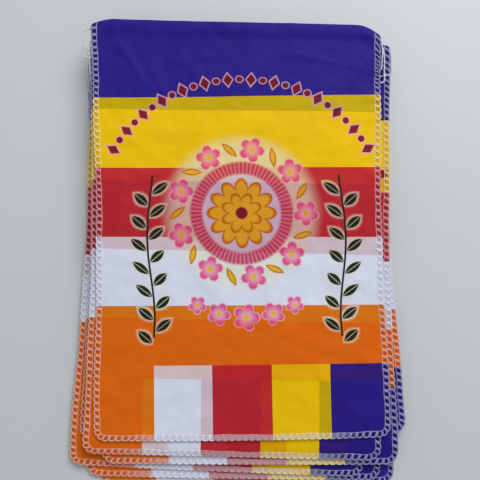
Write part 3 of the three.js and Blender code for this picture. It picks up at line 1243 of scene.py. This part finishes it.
def cut_cloth(flag, columns, rows):
    """One flag's cloth, laid in its place."""
    level = np.linspace(CORNER_RADIUS, LINE_ALONG[1], rows)
    along = np.concatenate([FOOT_ROWS, level, LINE_ALONG[2:]])
    deselect()
    bpy.ops.mesh.primitive_grid_add(
        x_subdivisions=columns, y_subdivisions=len(along) - 1, size=1, calc_uvs=False
    )
    piece = bpy.context.object
    grid = coordinates(piece.data)
    column = np.rint((grid[:, 0] + 0.5) * columns) / columns * 2 - 1
    row = np.rint((grid[:, 1] + 0.5) * (len(along) - 1)).astype(int)
    across_share = column * (1 + 0.25 * (1 - column**2))
    along = along[row]
    across = across_share * half_width(np.interp(along, LINE_ALONG, CLOTH_LINE[:, 0]))
    laid = lie(flag, across, along)
    move_to(piece.data, metres(laid))
    give_uv(piece.data, "print", print_place(flag, across, along))
    beside = half_width(np.minimum(along, FLAG_LENGTH)) - np.abs(across)
    give_uv(piece.data, "edge", np.stack([beside, along], axis=-1))
    beneath = np.full((len(grid), 2), NO_FLAG)
    if flag.layer:
        lower = FLAGS[len(FLAGS) - flag.layer]
        beneath = print_place(lower, *on_flag(lower, laid[:, 0], laid[:, 1]))
    give_uv(piece.data, "beneath", beneath)
    return piece


class BUNTING_OT_flags(bpy.types.Operator):
    """Cut, print and lay the flags, with their hems turned under"""

    bl_idname = "bunting.flags"
    bl_label = "Flags"

    def execute(self, context):
        cloth = context.scene.bunting_cloth
        face = striped_cloth(cloth, "striped cloth", False)
        reverse = striped_cloth(cloth, "striped cloth reverse", True)
        for number, flag in enumerate(FLAGS, 1):
            piece = cut_cloth(flag, *(TOP_GRID if flag is TOP else GRID))
            solid = piece.modifiers.new("Thickness", "SOLIDIFY")
            solid.thickness = cloth.thickness
            solid.offset = 0
            solid.material_offset = 1
            deselect()
            piece.select_set(True)
            finished(piece, f"cloth_{number}", "striped_cloth", face, reverse)
            apply_modifiers(piece)
            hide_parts(f"flag_{number}")
        return {"FINISHED"}


class BUNTING_OT_hem_seams(bpy.types.Operator):
    """Sew the hems down with thread of the cloth's own colour"""

    bl_idname = "bunting.hem_seams"
    bl_label = "Hem seams"

    def execute(self, context):
        threads = context.scene.bunting_threads
        material = sewing_thread(context.scene.bunting_cloth, threads, "seam thread", SEAM_TINT)
        count = int((FLAG_WIDTH - 2 * SEAM_MARGIN) / SEAM_PITCH)
        row = row_of([thread(SEAM_STITCH, SEAM_THREAD)], SEAM_PITCH, count, unbroken=False)
        stitch = coordinates(row.data)
        upper = np.interp(FLAG_LENGTH - SEAM_FROM_FOLD, CLOTH_LINE[:14, 0], LINE_ALONG[:14])
        lower = LINE_ALONG[-1] - (HEM_DEPTH - SEAM_FROM_FOLD)
        for number, flag in enumerate(FLAGS, 1):
            sides = []
            for along in (upper, lower):
                side = copied(row, f"hem_seam_{number}")
                across = stitch[:, 0] - count * SEAM_PITCH / 2
                away = np.full(len(across), along) + stitch[:, 1]
                laid = lie(flag, across, away, pressed(away, stitch[:, 2]))
                move_to(side.data, metres(laid))
                give_uv(side.data, "print", print_place(flag, across, away))
                sides.append(side)
            finished(joined(sides), f"hem_seam_{number}", "striped_cloth", material)
        bpy.data.objects.remove(row)
        return {"FINISHED"}


class BUNTING_OT_overlock(bpy.types.Operator):
    """Overlock the sides and the free edge of each flag in white thread"""

    bl_idname = "bunting.overlock"
    bl_label = "Overlock"

    def execute(self, context):
        threads = context.scene.bunting_threads
        material = sewing_thread(context.scene.bunting_cloth, threads, "overlock", threads.tint)
        edge = EdgeLine()
        count = round(edge.run[-1] * MM / threads.stitch)
        looper, needle = threads.looper / MM, threads.needle / MM
        stitch = [
            thread(UPPER_LOOPER, looper),
            thread(LOWER_LOOPER, looper),
            thread(NEEDLE, needle),
        ]
        row = row_of(stitch, STITCH_PITCH, count)
        stitches = coordinates(row.data)
        run = (stitches[:, 0] - STITCH_START) / (count * STITCH_PITCH) * edge.run[-1]
        for number, flag in enumerate(FLAGS, 1):
            piece = copied(row, f"overlock_{number}")
            uneven = np.sin(run / 7.7 + number) + np.sin(run / 3.1 + 2.3 * number)
            inward = stitches[:, 1] * (1 + 0.05 * uneven)
            slip = 0.25 * np.sin(run / 5.3 + 1.9 * number) * np.clip(stitches[:, 1] / 4, 0, 1)
            across, along = edge.at(run + slip, inward)
            height = pressed(along, stitches[:, 2])
            move_to(piece.data, metres(lie(flag, across, along, height)))
            give_uv(piece.data, "print", print_place(flag, across, along))
            finished(piece, f"overlock_{number}", "white_thread", material)
        bpy.data.objects.remove(row)
        return {"FINISHED"}


STEPS = (
    BUNTING_OT_stage,
    BUNTING_OT_string,
    BUNTING_OT_flags,
    BUNTING_OT_hem_seams,
    BUNTING_OT_overlock,
)


class BUNTING_PT_panel(bpy.types.Panel):
    """The sidebar's list of the pieces and their sizes and colours"""

    bl_label = "Bunting"
    bl_idname = "BUNTING_PT_panel"
    bl_space_type = "VIEW_3D"
    bl_region_type = "UI"
    bl_category = "Bunting"

    def draw(self, context):
        for step in STEPS:
            self.layout.operator(step.bl_idname)
        for name, group in SETTINGS.items():
            box = self.layout.box()
            for each in group.__annotations__:
                box.prop(getattr(context.scene, name), each)


SETTINGS = {
    "bunting_cloth": BuntingCloth,
    "bunting_threads": BuntingThreads,
    "bunting_string": BuntingString,
    "bunting_stage": BuntingStage,
}


def register():
    """Make the settings, the operators and the panel known."""
    for name, group in SETTINGS.items():
        bpy.utils.register_class(group)
        setattr(bpy.types.Scene, name, bpy.props.PointerProperty(type=group))
    for kind in (*STEPS, BUNTING_PT_panel):
        bpy.utils.register_class(kind)


def unregister():
    """Take them away again."""
    for kind in (BUNTING_PT_panel, *reversed(STEPS)):
        bpy.utils.unregister_class(kind)
    for name, group in reversed(SETTINGS.items()):
        delattr(bpy.types.Scene, name)
        bpy.utils.unregister_class(group)


def corners(box):
    """A box's lowest and highest corner as plain lists."""
    return [[float(number) for number in corner] for corner in box]


def main():
    """Make the whole scene, and measure how big it came out."""
    register()
    bpy.ops.bunting.stage()
    bpy.ops.bunting.string()
    bpy.ops.bunting.flags()
    bpy.ops.bunting.hem_seams()
    bpy.ops.bunting.overlock()
    {"cad": corners(CAD_BOX), "visual": corners(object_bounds())}


if __name__ == "__main__":
    main()
